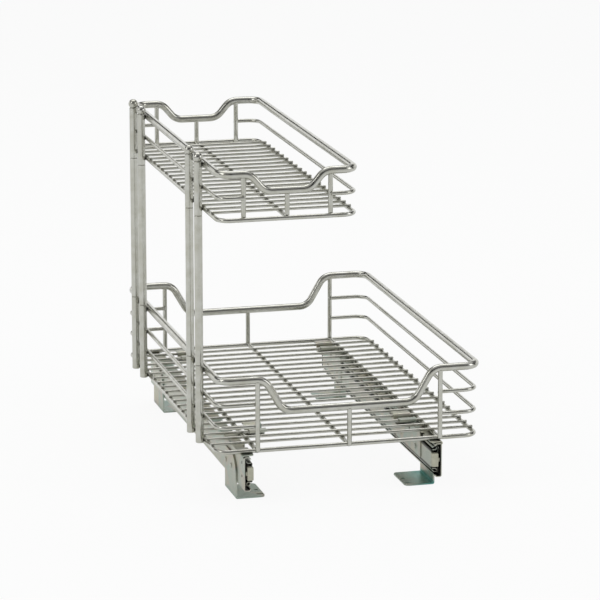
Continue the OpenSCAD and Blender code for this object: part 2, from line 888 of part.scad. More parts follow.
foot(0, foot_ys[0]);  // foot_front_left
foot(1, foot_ys[0]);  // foot_front_right
foot(0, foot_ys[1]);  // foot_back_left
foot(1, foot_ys[1]);  // foot_back_right
foot_rivets();
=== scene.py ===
"""Two-tier chrome pull-out basket on ball-bearing slides: its wires, plates, plating and studio stage."""

import math

import bmesh
import bpy
from bpy.props import FloatProperty, FloatVectorProperty, IntProperty, PointerProperty
from mathutils import Matrix, Vector


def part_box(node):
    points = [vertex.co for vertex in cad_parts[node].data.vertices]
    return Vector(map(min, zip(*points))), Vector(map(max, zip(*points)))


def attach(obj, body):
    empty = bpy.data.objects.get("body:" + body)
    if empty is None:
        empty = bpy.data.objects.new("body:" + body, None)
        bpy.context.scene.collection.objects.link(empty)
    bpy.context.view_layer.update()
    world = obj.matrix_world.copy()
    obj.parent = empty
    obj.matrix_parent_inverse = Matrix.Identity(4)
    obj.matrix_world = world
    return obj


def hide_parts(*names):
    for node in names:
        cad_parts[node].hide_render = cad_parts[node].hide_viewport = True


bl_info = {
    "name": "Pull-out basket",
    "version": (1, 0, 0),
    "blender": (4, 5, 0),
    "location": "3D View > Sidebar > Basket",
    "description": "Finishes a two-tier chrome pull-out basket around its solids",
    "category": "Object",
}

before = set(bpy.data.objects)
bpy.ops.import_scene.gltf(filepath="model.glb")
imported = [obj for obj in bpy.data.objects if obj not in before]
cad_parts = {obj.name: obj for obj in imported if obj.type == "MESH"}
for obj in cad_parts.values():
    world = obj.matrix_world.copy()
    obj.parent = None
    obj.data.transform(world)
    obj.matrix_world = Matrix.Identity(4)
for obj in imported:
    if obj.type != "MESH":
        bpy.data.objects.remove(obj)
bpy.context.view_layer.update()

MM = 0.001
UP = Vector((0, 0, 1))
QUARTER = math.pi / 2
BASKET = "basket"
SLIDE_BASE = "slide_base"

# How finely round shapes are drawn, and the angle from which an edge counts as sharp
BEND_STEP = math.radians(7.5)
TURNED_STEPS = 32
SCREW_STEPS = 24
BALL_STEPS = 16
SHARP_FROM = math.radians(35)

# Half sizes of the weld beads in millimetres, along X, Y and Z
BEADS = {
    "crosswire": (2.5, 2.3, 1.1),
    "upright": (3.6, 1.5, 2.9),
    "rail": (3.7, 3.5, 1.6),
    "side_wire": (3.3, 1.4, 2.7),
    "post": (1.2, 3.2, 2.9),
    "post_at_rail": (1.4, 3.8, 4.2),
}


def linear(code):
    """An sRGB hex colour as linear red, green, blue and an alpha of 1."""
    channels = [int(code[i:i + 2], 16) / 255 for i in (1, 3, 5)]
    return tuple(c / 12.92 if c <= 0.04045 else ((c + 0.055) / 1.055) ** 2.4 for c in channels) + (1.0,)


# ---- Sizes and colours ----

def length(name, description, millimetres):
    """A size given in millimetres and held in metres."""
    return FloatProperty(name=name, description=description, default=millimetres * MM, min=0,
                         unit="LENGTH", subtype="DISTANCE", precision=4)


def colour(name, description, code):
    """A colour given as sRGB hex and held as linear."""
    return FloatVectorProperty(name=name, description=description, default=linear(code), size=4,
                               min=0, max=1, subtype="COLOR")


class WireSizes(bpy.types.PropertyGroup):
    """Wire and tube sections of both baskets"""
    frame_wire: length("Frame wire", "Radius of the floor frames and support wires", 2.9)
    crosswire: length("Crosswire", "Radius of the floor crosswires", 2)
    side_wire: length("Side wire", "Radius of the wires round the sides", 2.6)
    upright: length("Upright", "Radius of the upright wires", 3.05)
    rail: length("Top rail", "Radius of the top rail tube", 5)
    wire_corner: length("Wire corner", "Corner radius of the thin wires", 17)
    rail_corner: length("Rail corner", "Corner radius of the top rails", 18)
    scoop_bend: length("Scoop bend", "Radius of the bends at the scoops", 20)
    end_chamfer: length("End chamfer", "Chamfer that the cropping die leaves on wire ends", 0.5)
    facets: IntProperty(name="Facets", description="Facets round each wire", default=20, min=12, max=32)


class BasketSizes(bpy.types.PropertyGroup):
    """Scoops, uprights and crosswires of the two baskets"""
    lower_scoop_depth: length("Lower scoop depth", "How far the lower rail dips", 43)
    lower_scoop_width: length("Lower scoop width", "Between the middles of its slopes", 200)
    lower_scoop_angle: FloatProperty(name="Lower scoop angle", description="Slope of its sides",
                                     default=math.radians(60), subtype="ANGLE", unit="ROTATION")
    lower_upright_pitch: length("Lower upright pitch", "Between neighbouring uprights", 122.2)
    upper_scoop_depth: length("Upper scoop depth", "How far the upper rail dips", 23)
    upper_scoop_width: length("Upper scoop width", "Between the middles of its slopes", 78)
    upper_scoop_angle: FloatProperty(name="Upper scoop angle", description="Slope of its sides",
                                     default=math.radians(50), subtype="ANGLE", unit="ROTATION")
    upper_upright_pitch: length("Upper upright pitch", "Between neighbouring uprights", 56.8)
    lower_crosswires: IntProperty(name="Lower crosswires", description="Crosswires of the lower floor",
                                  default=20, min=2, max=40)
    upper_crosswires: IntProperty(name="Upper crosswires", description="Crosswires of the upper floor",
                                  default=19, min=2, max=40)


class PlateSizes(bpy.types.PropertyGroup):
    """Edges, posts, screws and bumpers"""
    sheet_edge: length("Sheet edge", "Rounding that blanking and plating leave on sheet edges", 0.22)
    slide_edge: length("Slide edge", "Rounding on the cut ends of the slides", 0.15)
    rivet_edge: length("Rivet edge", "Rounding of the rivets' heads", 0.4)
    moulded_edge: length("Moulded edge", "Rounding on the bumpers", 0.25)
    post: length("Post", "Radius of the posts", 5.3)
    post_wall: length("Post wall", "Wall of the sockets and stubs, which the spigots fill", 1.08)
    post_chamfer: length("Post chamfer", "Chamfer at each joint of the posts", 0.6)
    spigot_wall: length("Spigot wall", "Wall of the spigots at the posts' ends", 0.9)
    socket_floor: length("Socket floor", "Thickness of the sockets' closed ends", 2)
    finial: length("Finial", "Radius of the ball finials", 6.5)
    finial_neck: length("Finial neck", "Radius at which the balls meet the stubs", 4.3)
    finial_spigot: length("Finial spigot", "How far the finials reach into the stubs", 10)
    screw_head: length("Screw head", "Radius of the clip screws' heads", 3.4)
    screw_head_height: length("Screw head height", "Height of the clip screws' heads", 2.4)
    screw_shank: length("Screw shank", "Radius of the clip screws' threads", 1.9)
    bumper_width: length("Bumper width", "Width of the front bumpers' blocks", 8)
    bumper_length: length("Bumper length", "How far the blocks stand before the slides", 7)
    bumper_nib: length("Bumper nib", "Height of the nib that snaps onto the middle member", 5)
    bumper_wall: length("Bumper wall", "Step from the block in to its tail", 1.8)


class PlatingColours(bpy.types.PropertyGroup):
    """Colours of the platings and plastics"""
    chrome: colour("Chrome", "Bright chrome over nickel", "#CECEC8")
    chrome_shade: colour("Chrome shade", "Chrome where the plate is thin", "#C0BFB4")
    zinc: colour("Zinc", "Zinc plate between its tints", "#C3C4B8")
    zinc_teal: colour("Zinc teal", "Blue-green tint of the passivation", "#8FB5AC")
    zinc_rose: colour("Zinc rose", "Pink tint of the passivation", "#CBAFA8")
    zinc_straw: colour("Zinc straw", "Yellow tint of the passivation", "#CCC49E")
    zinc_pool: colour("Zinc pool", "Where the passivation dried thick", "#68AEA6")
    bearing: colour("Bearing steel", "Ground balls under a film of grease", "#B4B6B8")
    cage: colour("Cage steel", "Bare cold-rolled strip", "#8A8B8A")
    smear: colour("Grease smear", "Steel under a smear of grease", "#6F6C62")
    painted_shade: colour("Grease", "Dark grease wiped out of the raceways", "#24241F")
    # Painted shade: the dark colour laid along the raceways of the inner members
    nylon: colour("Nylon", "Unpigmented moulded nylon", "#C6C4B0")
    rubber: colour("Rubber", "Moulded black rubber", "#1C1C1B")


class StageSizes(bpy.types.PropertyGroup):
    """Camera, lights and floor"""
    place: FloatVectorProperty(name="Camera place", description="Where the camera stands", size=3,
                               default=(-1.1372, -4.3728, 1.2914), unit="LENGTH", subtype="TRANSLATION")
    lens: FloatProperty(name="Lens", description="Focal length", default=205, min=10, unit="CAMERA")
    azimuth: FloatProperty(name="Azimuth", description="Direction that the camera looks in",
                           default=math.radians(-14.78), subtype="ANGLE", unit="ROTATION")
    elevation: FloatProperty(name="Elevation", description="How far the camera looks down",
                             default=math.radians(13.58), subtype="ANGLE", unit="ROTATION")
    key_power: FloatProperty(name="Key power", description="Soft light from the left", default=24, min=0,
                             unit="POWER")
    fill_power: FloatProperty(name="Fill power", description="Soft light from the right", default=14, min=0,
                              unit="POWER")
    top_power: FloatProperty(name="Top power", description="Soft light from above", default=16, min=0,
                             unit="POWER")
    floor_white: FloatProperty(name="Floor white", description="Plain white in what the camera sees",
                               default=0.9, min=0, max=1, subtype="FACTOR")
    floor_mirrored: FloatProperty(name="Floor mirrored", description="Plain white in what metal mirrors",
                                  default=0.25, min=0, max=1, subtype="FACTOR")


PROPERTY_GROUPS = {
    "basket_wires": WireSizes,
    "basket_forms": BasketSizes,
    "basket_plates": PlateSizes,
    "basket_colours": PlatingColours,
    "basket_stage": StageSizes,
}


# ---- Materials ----

def add(tree, kind, fields=None, **inputs):
    """A new node. fields are its settings, and inputs its values or links, by socket name or as n0, n1."""
    node = tree.nodes.new(kind)
    for name, value in (fields or {}).items():
        setattr(node, name, value)
    for name, value in inputs.items():
        key = int(name[1:]) if name[1:].isdigit() else name.replace("_", " ")
        socket = node.inputs[key]
        if isinstance(value, bpy.types.NodeSocket):
            tree.links.new(value, socket)
        else:
            socket.default_value = value
    return node


def new_material(name):
    """A material without nodes, and its node tree."""
    material = bpy.data.materials.new(name)
    material.use_nodes = True
    material.node_tree.nodes.clear()
    return material, material.node_tree


def spread(tree, pattern, low, high):
    """The pattern's middle range stretched to run from low to high."""
    return add(tree, "ShaderNodeMapRange", n0=pattern, n1=0.3, n2=0.7, n3=low, n4=high).outputs[0]


def colour_steps(tree, place, bands):
    """The colour at a place along a row of (position, colour) bands, a colour being sRGB hex or linear."""
    ramp = add(tree, "ShaderNodeValToRGB", Fac=place)
    stops = ramp.color_ramp.elements
    while len(stops) < len(bands):
        stops.new(0.5)
    for stop, (position, shade) in zip(stops, bands):
        stop.position = position
        stop.color = linear(shade) if isinstance(shade, str) else tuple(shade)
    return ramp.outputs[0]


def recess(tree, reach, floor, shut=0.15, clear=0.75):
    """Painted shade: 1 on open surfaces, falling to floor in recesses narrower than reach metres, as a factor
    on colour. shut and clear are the open shares of the view at which it reaches floor and 1."""
    open_share = add(tree, "ShaderNodeAmbientOcclusion", {"samples": 8}, Distance=reach).outputs["AO"]
    return add(tree, "ShaderNodeMapRange", n0=open_share, n1=shut, n2=clear, n3=floor, n4=1.0).outputs[0]


def chrome_plate(name, wave):
    """Decorative chrome over nickel on bright-drawn wire: a mirror whose reflections wander with the drawn
    surface under it, with faint clouding where the plate is thinner, fine rub marks, and painted shade that
    darkens its colour in the corners at the welds."""
    colours = bpy.context.scene.basket_colours
    material, tree = new_material(name)
    place = add(tree, "ShaderNodeTexCoord").outputs["Object"]
    # Clouds of about 12 mm: the plate's thickness changes slowly along a wire
    clouds = add(tree, "ShaderNodeTexNoise", Vector=place, Scale=80.0, Detail=3.0).outputs["Fac"]
    # Drawing waves of about 3 mm, which bend the reflections
    waves = add(tree, "ShaderNodeTexNoise", Vector=place, Scale=330.0, Detail=1.0).outputs["Fac"]
    # Rub marks drawn at 0.5 mm, coarser than real ones so that they show
    rubs = add(tree, "ShaderNodeTexNoise", Vector=place, Scale=2000.0, Detail=2.0).outputs["Fac"]
    tint = add(tree, "ShaderNodeMix", {"data_type": "RGBA"}, n0=spread(tree, clouds, 0.0, 1.0),
               n6=tuple(colours.chrome), n7=tuple(colours.chrome_shade)).outputs[2]
    # Painted shade: the colour is darkened in recesses narrower than 6 mm, such as the corners at the welds
    tint = add(tree, "ShaderNodeMix", {"data_type": "RGBA", "blend_type": "MULTIPLY"}, n0=1.0,
               n6=tint, n7=recess(tree, 6 * MM, 0.5)).outputs[2]
    rough = add(tree, "ShaderNodeMath", {"operation": "ADD"}, n0=spread(tree, clouds, 0.13, 0.22),
                n1=spread(tree, rubs, 0.0, 0.05)).outputs[0]
    bump = add(tree, "ShaderNodeBump", Strength=wave, Distance=0.05 * MM, Height=waves).outputs[0]
    shader = add(tree, "ShaderNodeBsdfPrincipled", Base_Color=tint, Metallic=1.0, Roughness=rough,
                 Normal=bump)
    add(tree, "ShaderNodeOutputMaterial", Surface=shader.outputs[0])
    return material


def pool_share(tree, place, film, pool_x):
    """Where the passivation runs down and dries thick: a ragged patch along the feet's bends, which lie
    pool_x to either side. It reaches a seventh as far up the webs as along the plates, and is thinner on the
    left and at the back, which hang higher in the bath."""
    axes = add(tree, "ShaderNodeSeparateXYZ", n0=place).outputs
    aside = add(tree, "ShaderNodeMath", {"operation": "ABSOLUTE"}, n0=axes["X"]).outputs[0]
    from_bend = add(tree, "ShaderNodeMath", {"operation": "SUBTRACT"}, n0=pool_x, n1=aside).outputs[0]
    away = add(tree, "ShaderNodeMath", {"operation": "MULTIPLY_ADD"}, n0=axes["Z"], n1=7.0,
               n2=from_bend).outputs[0]
    ragged = add(tree, "ShaderNodeMapRange", n0=film, n1=0.35, n2=0.65, n3=-6 * MM, n4=9 * MM).outputs[0]
    edge = add(tree, "ShaderNodeMath", {"operation": "ADD"}, n0=away, n1=ragged).outputs[0]
    across = add(tree, "ShaderNodeMapRange", n0=axes["X"], n1=-pool_x, n2=pool_x, n3=0.2, n4=0.95).outputs[0]
    thick = add(tree, "ShaderNodeMapRange", n0=axes["Y"], n1=-0.1, n2=0.15, n3=across, n4=0.15).outputs[0]
    return add(tree, "ShaderNodeMapRange", n0=edge, n1=20 * MM, n2=60 * MM, n3=thick, n4=0.0).outputs[0]


def raceway_shade_share(tree, place, low, high):
    """Painted shade: a dark band along both bends of the inner members' webs, inside their raised lips, where
    the raceways lie in shade. low and high are the corners of the right one's box."""
    axes = add(tree, "ShaderNodeSeparateXYZ", n0=place).outputs
    above = add(tree, "ShaderNodeMath", {"operation": "SUBTRACT"}, n0=axes["Z"],
                n1=(low.z + high.z) / 2).outputs[0]
    height = add(tree, "ShaderNodeMath", {"operation": "ABSOLUTE"}, n0=above).outputs[0]
    aside = add(tree, "ShaderNodeMath", {"operation": "ABSOLUTE"}, n0=axes["X"]).outputs[0]
    # The lips rise 2.3 mm past the bends, and the painted shade ends about 3.3 mm in from them
    bend = (high.z - low.z) / 2 - 2.3 * MM
    at_edge = add(tree, "ShaderNodeMapRange", n0=height, n1=bend - 3.6 * MM, n2=bend - 3.0 * MM, n3=0.0,
                  n4=0.92).outputs[0]
    return add(tree, "ShaderNodeMapRange", n0=aside, n1=low.x + 1.6 * MM, n2=low.x + 2.2 * MM, n3=at_edge,
               n4=0.0).outputs[0]


def zinc_plate(name, roughness, tinted, painted_shade, pool_x=0, raceway_shade_box=()):
    """Zinc electroplate with a clear passivation on rolled sheet: satin metal with drifting straw, teal and
    rose interference tints, the sheet's rolling grain along its length, and painted shade darkening its
    folds.
    tinted and the strength of the painted shade are shares from 0 to 1."""
    colours = bpy.context.scene.basket_colours
    material, tree = new_material(name)
    place = add(tree, "ShaderNodeTexCoord").outputs["Object"]
    # Tints drift over about 40 mm, as the passivation film drains and dries, and come and go over 70 mm
    film = add(tree, "ShaderNodeTexNoise", Vector=place, Scale=24.0, Detail=2.0,
               Distortion=0.5).outputs["Fac"]
    drift = add(tree, "ShaderNodeTexNoise", Vector=place, Scale=14.0, Detail=1.0,
                Distortion=0.6).outputs["Fac"]
    # Rolling grain: 0.3 mm across and 12 mm along, drawn coarser than the real 0.05 mm so that it shows
    along = add(tree, "ShaderNodeMapping", Vector=place, Scale=(3300.0, 80.0, 3300.0)).outputs[0]
    grain = add(tree, "ShaderNodeTexNoise", Vector=along, Scale=1.0, Detail=2.0).outputs["Fac"]
    bands = colour_steps(tree, film, [
        (0.34, colours.zinc), (0.42, colours.zinc_straw), (0.47, colours.zinc_rose),
        (0.53, colours.zinc_teal), (0.60, colours.zinc_teal), (0.67, colours.zinc)])
    tint = add(tree, "ShaderNodeMix", {"data_type": "RGBA"}, n0=spread(tree, drift, 0.15 * tinted, tinted),
               n6=tuple(colours.zinc), n7=bands).outputs[2]
    if pool_x:
        tint = add(tree, "ShaderNodeMix", {"data_type": "RGBA"}, n0=pool_share(tree, place, film, pool_x),
                   n6=tint, n7=tuple(colours.zinc_pool)).outputs[2]
    # Painted shade: a dark colour laid along the raceway bends of the inner members
    if raceway_shade_box:
        tint = add(tree, "ShaderNodeMix", {"data_type": "RGBA"}, n0=raceway_shade_share(tree, place, *raceway_shade_box),
                   n6=tint, n7=tuple(colours.painted_shade)).outputs[2]
    # Painted shade: the colour darkens in folds and recesses narrower than 12 mm, by the share given
    folds = recess(tree, 12 * MM, 1 - painted_shade, shut=0.3 * painted_shade, clear=0.5 + 0.4 * painted_shade)
    tint = add(tree, "ShaderNodeMix", {"data_type": "RGBA", "blend_type": "MULTIPLY"}, n0=1.0,
               n6=tint, n7=folds).outputs[2]
    rough = spread(tree, grain, roughness - 0.07, roughness + 0.09)
    bump = add(tree, "ShaderNodeBump", Strength=0.35, Distance=0.02 * MM, Height=grain).outputs[0]
    shader = add(tree, "ShaderNodeBsdfPrincipled", Base_Color=tint, Metallic=1.0, Roughness=rough,
                 Normal=bump)
    add(tree, "ShaderNodeOutputMaterial", Surface=shader.outputs[0])
    return material


def plain_steel(name, shade, roughness):
    """Uncoated steel under a film of grease: darker than zinc, with smears in its gloss."""
    colours = bpy.context.scene.basket_colours
    material, tree = new_material(name)
    place = add(tree, "ShaderNodeTexCoord").outputs["Object"]
    # Grease smears of about 5 mm
    smears = add(tree, "ShaderNodeTexNoise", Vector=place, Scale=200.0, Detail=3.0).outputs["Fac"]
    tint = add(tree, "ShaderNodeMix", {"data_type": "RGBA"}, n0=spread(tree, smears, 0.0, 0.35),
               n6=tuple(shade), n7=tuple(colours.smear)).outputs[2]
    rough = spread(tree, smears, roughness - 0.06, roughness + 0.12)
    shader = add(tree, "ShaderNodeBsdfPrincipled", Base_Color=tint, Metallic=1.0, Roughness=rough)
    add(tree, "ShaderNodeOutputMaterial", Surface=shader.outputs[0])
    return material


def moulded(name, shade, roughness, ior, grain_depth):
    """Injection-moulded plastic or rubber: an eroded mould leaves a fine matt grain and a slight mottle."""
    material, tree = new_material(name)
    place = add(tree, "ShaderNodeTexCoord").outputs["Object"]
    # Mould grain drawn at 0.4 mm, coarser than the real 0.1 mm so that it shows, on a mottle of 5 mm
    grain = add(tree, "ShaderNodeTexNoise", Vector=place, Scale=2500.0, Detail=2.0).outputs["Fac"]
    mottle = add(tree, "ShaderNodeTexNoise", Vector=place, Scale=220.0, Detail=2.0).outputs["Fac"]
    darker = tuple(c * 0.78 for c in shade[:3]) + (1.0,)
    tint = add(tree, "ShaderNodeMix", {"data_type": "RGBA"}, n0=spread(tree, mottle, 0.0, 1.0),
               n6=tuple(shade), n7=darker).outputs[2]
    rough = spread(tree, grain, roughness - 0.08, roughness + 0.08)
    bump = add(tree, "ShaderNodeBump", Strength=0.5, Distance=grain_depth, Height=grain).outputs[0]
    shader = add(tree, "ShaderNodeBsdfPrincipled", Base_Color=tint, Roughness=rough, IOR=ior, Normal=bump)
    add(tree, "ShaderNodeOutputMaterial", Surface=shader.outputs[0])
    return material


def finish_for(slot_name):
    """The finish of one of the record's material slots, made when it is first asked for."""
    colours = bpy.context.scene.basket_colours
    name, maker = {
        "chrome_wire": ("bright_chrome_on_wire", lambda n: chrome_plate(n, wave=0.25)),
        "chrome_tube": ("bright_chrome_on_tube", lambda n: chrome_plate(n, wave=0.18)),
        "chrome_post": ("bright_chrome_on_post", lambda n: chrome_plate(n, wave=0.22)),
        # Painted shade darkens the zinc's folds, most on the slides, and lies along the inner members'
        # raceways
        "slide_zinc": ("passivated_zinc_on_slide", lambda n: zinc_plate(
            n, roughness=0.32, tinted=0.32, painted_shade=0.97, raceway_shade_box=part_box("inner_member_right"))),
        "bracket_zinc": ("passivated_zinc_on_bracket", lambda n: zinc_plate(
            n, roughness=0.36, tinted=0.5, painted_shade=0.5, pool_x=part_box("foot_front_right")[1].x)),
        "fastener_zinc": ("bright_zinc_on_fastener", lambda n: zinc_plate(
            n, roughness=0.26, tinted=0.3, painted_shade=0.5)),
        "cage_steel": ("greased_cold_rolled_steel", lambda n: plain_steel(n, colours.cage, roughness=0.36)),
        "ball_steel": ("ground_bearing_steel", lambda n: plain_steel(n, colours.bearing, roughness=0.14)),
        "bumper_nylon": ("moulded_nylon", lambda n: moulded(
            n, colours.nylon, roughness=0.42, ior=1.53, grain_depth=0.03 * MM)),
        "bumper_rubber": ("moulded_rubber", lambda n: moulded(
            n, colours.rubber, roughness=0.72, ior=1.52, grain_depth=0.06 * MM)),
    }[slot_name]
    return bpy.data.materials.get(name) or maker(name)


# ---- Shaping helpers ----

def finish_piece(name, bm, slot_name, body, replaced=(), smooth_angle=38):
    """Turns a bmesh in metres into a named piece on its body, standing for the replaced nodes."""
    mesh = bpy.data.meshes.new(name)
    bm.to_mesh(mesh)
    bm.free()
    mesh.shade_smooth()
    mesh.set_sharp_from_angle(angle=math.radians(smooth_angle))
    mesh.materials.append(finish_for(slot_name))
    piece = bpy.data.objects.new(name, mesh)
    bpy.context.scene.collection.objects.link(piece)
    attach(piece, body)
    if replaced:
        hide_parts(*replaced)
    return piece


def edges_of(geometry):
    return [g for g in geometry if isinstance(g, bmesh.types.BMEdge)]


def verts_of(geometry):
    return [g for g in geometry if isinstance(g, bmesh.types.BMVert)]


def ring_verts(edges):
    return list({v for e in edges for v in e.verts})


def pull(bm, edges, shift):
    """Extrudes an open ring of edges by shift and returns the new ring."""
    grown = bmesh.ops.extrude_edge_only(bm, edges=edges)["geom"]
    bmesh.ops.translate(bm, vec=shift, verts=verts_of(grown))
    return edges_of(grown)


def crop_end(bm, edges, heading, radius, chamfer):
    """Chamfers and closes an open ring, as a cropping die leaves a wire's end."""
    edges = pull(bm, edges, heading * chamfer)
    verts = ring_verts(edges)
    centre = sum((v.co for v in verts), Vector()) / len(verts)
    share = 1 - chamfer / radius
    bmesh.ops.scale(bm, vec=(share, share, share), space=Matrix.Translation(-centre), verts=verts)
    bmesh.ops.edgeloop_fill(bm, edges=edges)


def form_wire(bm, place, heading, radius, steps, closed=False):
    """Feeds a wire from place along heading and bends it after each feed, as a wire bender does.
    A step is (feed, bend radius, bend angle, roll): roll 0 bends to the left, a quarter turn upwards."""
    sizes = bpy.context.scene.basket_wires
    place, heading = Vector(place), Vector(heading)
    left = UP.cross(heading) if abs(heading.z) < 0.5 else Vector((0, 1, 0))
    chamfer = 0 if closed else sizes.end_chamfer
    place = place + heading * chamfer
    section = Matrix((left, heading.cross(left), heading)).transposed().to_4x4()
    section.translation = place
    start = bmesh.ops.create_circle(bm, cap_ends=False, segments=sizes.facets, radius=radius, matrix=section)
    first = ring = list({e for v in start["verts"] for e in v.link_edges})
    first_heading = heading.copy()
    for i, (feed, bend, angle, roll) in enumerate(steps):
        run = feed - (chamfer if i == 0 else 0) - (chamfer if i == len(steps) - 1 else 0)
        if run > 0:
            ring = pull(bm, ring, heading * run)
        place = place + heading * run
        if angle:
            side = Matrix.Rotation(roll, 3, heading) @ left
            axis = heading.cross(side)
            centre = place + side * bend
            spun = bmesh.ops.spin(bm, geom=ring + ring_verts(ring), cent=centre, axis=axis, angle=angle,
                                  steps=max(2, math.ceil(angle / BEND_STEP)), use_duplicate=False)
            ring = edges_of(spun["geom_last"])
            turn = Matrix.Rotation(angle, 3, axis)
            place = centre + turn @ (place - centre)
            heading, left = turn @ heading, turn @ left
    if not closed:
        crop_end(bm, first, -first_heading, radius, chamfer)
        crop_end(bm, ring, heading, radius, chamfer)


def settle(bm):
    """Closes the seams that forming leaves and turns every face outwards."""
    bmesh.ops.remove_doubles(bm, verts=bm.verts, dist=0.002 * MM)
    bmesh.ops.recalc_face_normals(bm, faces=bm.faces)


def straight_wire(bm, start, end, radius):
    """A wire from start to end, cropped at both."""
    start, end = Vector(start), Vector(end)
    form_wire(bm, start, (end - start).normalized(), radius, [((end - start).length, 0, 0, 0)])


def turned(bm, x, y, profile, steps=TURNED_STEPS):
    """Spins a profile of (radius, height) points round the upright axis at x, y."""
    verts = [bm.verts.new((x + r, y, z)) for r, z in profile]
    edges = [bm.edges.new(pair) for pair in zip(verts, verts[1:])]
    bmesh.ops.spin(bm, geom=verts + edges, cent=(x, y, 0), axis=UP, angle=2 * math.pi, steps=steps,
                   use_merge=True, use_duplicate=False)


def weld_bead(bm, place, kind):
    """A resistance weld's squeezed-out bead, flattened between the wires that it joins."""
    matrix = Matrix.Translation(place) @ Matrix.Diagonal((*(half * MM for half in BEADS[kind]), 1))
    bmesh.ops.create_icosphere(bm, subdivisions=1, radius=1, matrix=matrix)


def dressed(node, name, slot_name, body, edge):
    """A copy of a node's solid with its sharp edges rounded by edge, which stands for the node."""
    bm = bmesh.new()
    bm.from_mesh(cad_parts[node].data)
    bmesh.ops.remove_doubles(bm, verts=bm.verts, dist=0.001 * MM)
    bmesh.ops.dissolve_limit(bm, angle_limit=math.radians(1), verts=bm.verts, edges=bm.edges)
    sharp = [e for e in bm.edges if e.is_manifold and e.calc_face_angle(0) > SHARP_FROM]
    if edge and sharp:
        bmesh.ops.bevel(bm, geom=sharp, offset=edge, offset_type="OFFSET", segments=2, profile=0.5,
                        affect="EDGES", clamp_overlap=True, material=-1)
    piece = finish_piece(name, bm, slot_name, body, [node])
    if edge:
        # Flat faces keep one normal, and their rounded edges take all the turn
        piece.modifiers.new("face_normals", "WEIGHTED_NORMAL").keep_sharp = True
    return piece


def middle_of(node):
    low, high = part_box(node)
    return (low + high) / 2


# ---- Basket wires ----

class Tier:
    """Where the wires of one basket run, measured on its nodes. supports are the places of its support wires,
    in upright pitches from the middle, and side_rows is how many side wires lie above each other."""

    def __init__(self, name, supports, support_node, side_node, side_rows):
        sizes, forms = bpy.context.scene.basket_wires, bpy.context.scene.basket_forms
        self.name, self.support_node, self.side_node = name, support_node, side_node
        self.pitch = getattr(forms, f"{name}_upright_pitch")
        self.scoop_depth = getattr(forms, f"{name}_scoop_depth")
        self.scoop_width = getattr(forms, f"{name}_scoop_width")
        self.scoop_angle = getattr(forms, f"{name}_scoop_angle")

        low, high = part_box(f"{name}_frame_wire")
        self.left, self.right = low.x + sizes.frame_wire, high.x - sizes.frame_wire
        self.front, self.back = low.y + sizes.frame_wire, high.y - sizes.frame_wire
        self.floor_z = (low.z + high.z) / 2
        self.mid = (self.left + self.right) / 2
        self.support_xs = [self.mid + k * self.pitch for k in supports]

        low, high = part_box(f"{name}_crosswires")
        count = getattr(forms, f"{name}_crosswires")
        step = (high.y - low.y - 2 * sizes.crosswire) / (count - 1)
        self.cross_ys = [low.y + sizes.crosswire + k * step for k in range(count)]
        self.cross_xs, self.cross_z = (low.x, high.x), (low.z + high.z) / 2

        low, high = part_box(f"{name}_uprights")
        self.upright_ys, self.upright_zs = (low.y + sizes.upright, high.y - sizes.upright), (low.z, high.z)

        low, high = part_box(f"{name}_top_rail")
        self.rail_xs = (low.x + sizes.rail, high.x - sizes.rail)
        self.rail_ys = (low.y + sizes.rail, high.y - sizes.rail)
        self.rail_z = high.z - sizes.rail

        low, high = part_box(f"{side_node}_left")
        self.side_zs = [low.z + sizes.side_wire, high.z - sizes.side_wire] if side_rows == 2 else [
            (low.z + high.z) / 2]


def frame_loop(bm, tier):
    """Floor frame: one wire round four corners."""
    sizes = bpy.context.scene.basket_wires
    corner = sizes.wire_corner
    across = (tier.right - tier.left - 2 * corner, corner, QUARTER, 0)
    along = (tier.back - tier.front - 2 * corner, corner, QUARTER, 0)
    form_wire(bm, (tier.left + corner, tier.front, tier.floor_z), (1, 0, 0), sizes.frame_wire,
              [across, along] * 2, closed=True)


def rail_loop(bm, tier):
    """Top rail tube with a scoop in its front and back."""
    sizes = bpy.context.scene.basket_wires
    bend, corner, angle = sizes.scoop_bend, sizes.rail_corner, tier.scoop_angle
    (left, right), (front, back) = tier.rail_xs, tier.rail_ys
    slope = (tier.scoop_depth - 2 * bend * (1 - math.cos(angle))) / math.sin(angle)
    slope_width = 2 * bend * math.sin(angle) + slope * math.cos(angle)
    half = (tier.scoop_width + slope_width) / 2
    left_run, right_run = tier.mid - half - left - corner, right - corner - tier.mid - half
    side = (back - front - 2 * corner, corner, QUARTER, 0)

    def scoop(lead, tail):
        return [(lead, bend, angle, -QUARTER), (slope, bend, angle, QUARTER),
                (tier.scoop_width - slope_width, bend, angle, QUARTER), (slope, bend, angle, -QUARTER),
                (tail, corner, QUARTER, 0)]

    steps = scoop(left_run, right_run) + [side] + scoop(right_run, left_run) + [side]
    form_wire(bm, (left + corner, front, tier.rail_z), (1, 0, 0), sizes.rail, steps, closed=True)


def side_loop(bm, tier, side, far_x, z):
    """Side wire round one side (1 is right, -1 left), between the outer uprights of both ends."""
    sizes = bpy.context.scene.basket_wires
    corner = sizes.wire_corner
    upright_x = tier.mid + side * tier.pitch
    run, deep = abs(far_x - upright_x) - corner, tier.back - tier.front - 2 * corner
    form_wire(bm, (upright_x, tier.front if side > 0 else tier.back, z), (side, 0, 0), sizes.side_wire,
              [(run, corner, QUARTER, 0), (deep, corner, QUARTER, 0), (run, 0, 0, 0)])


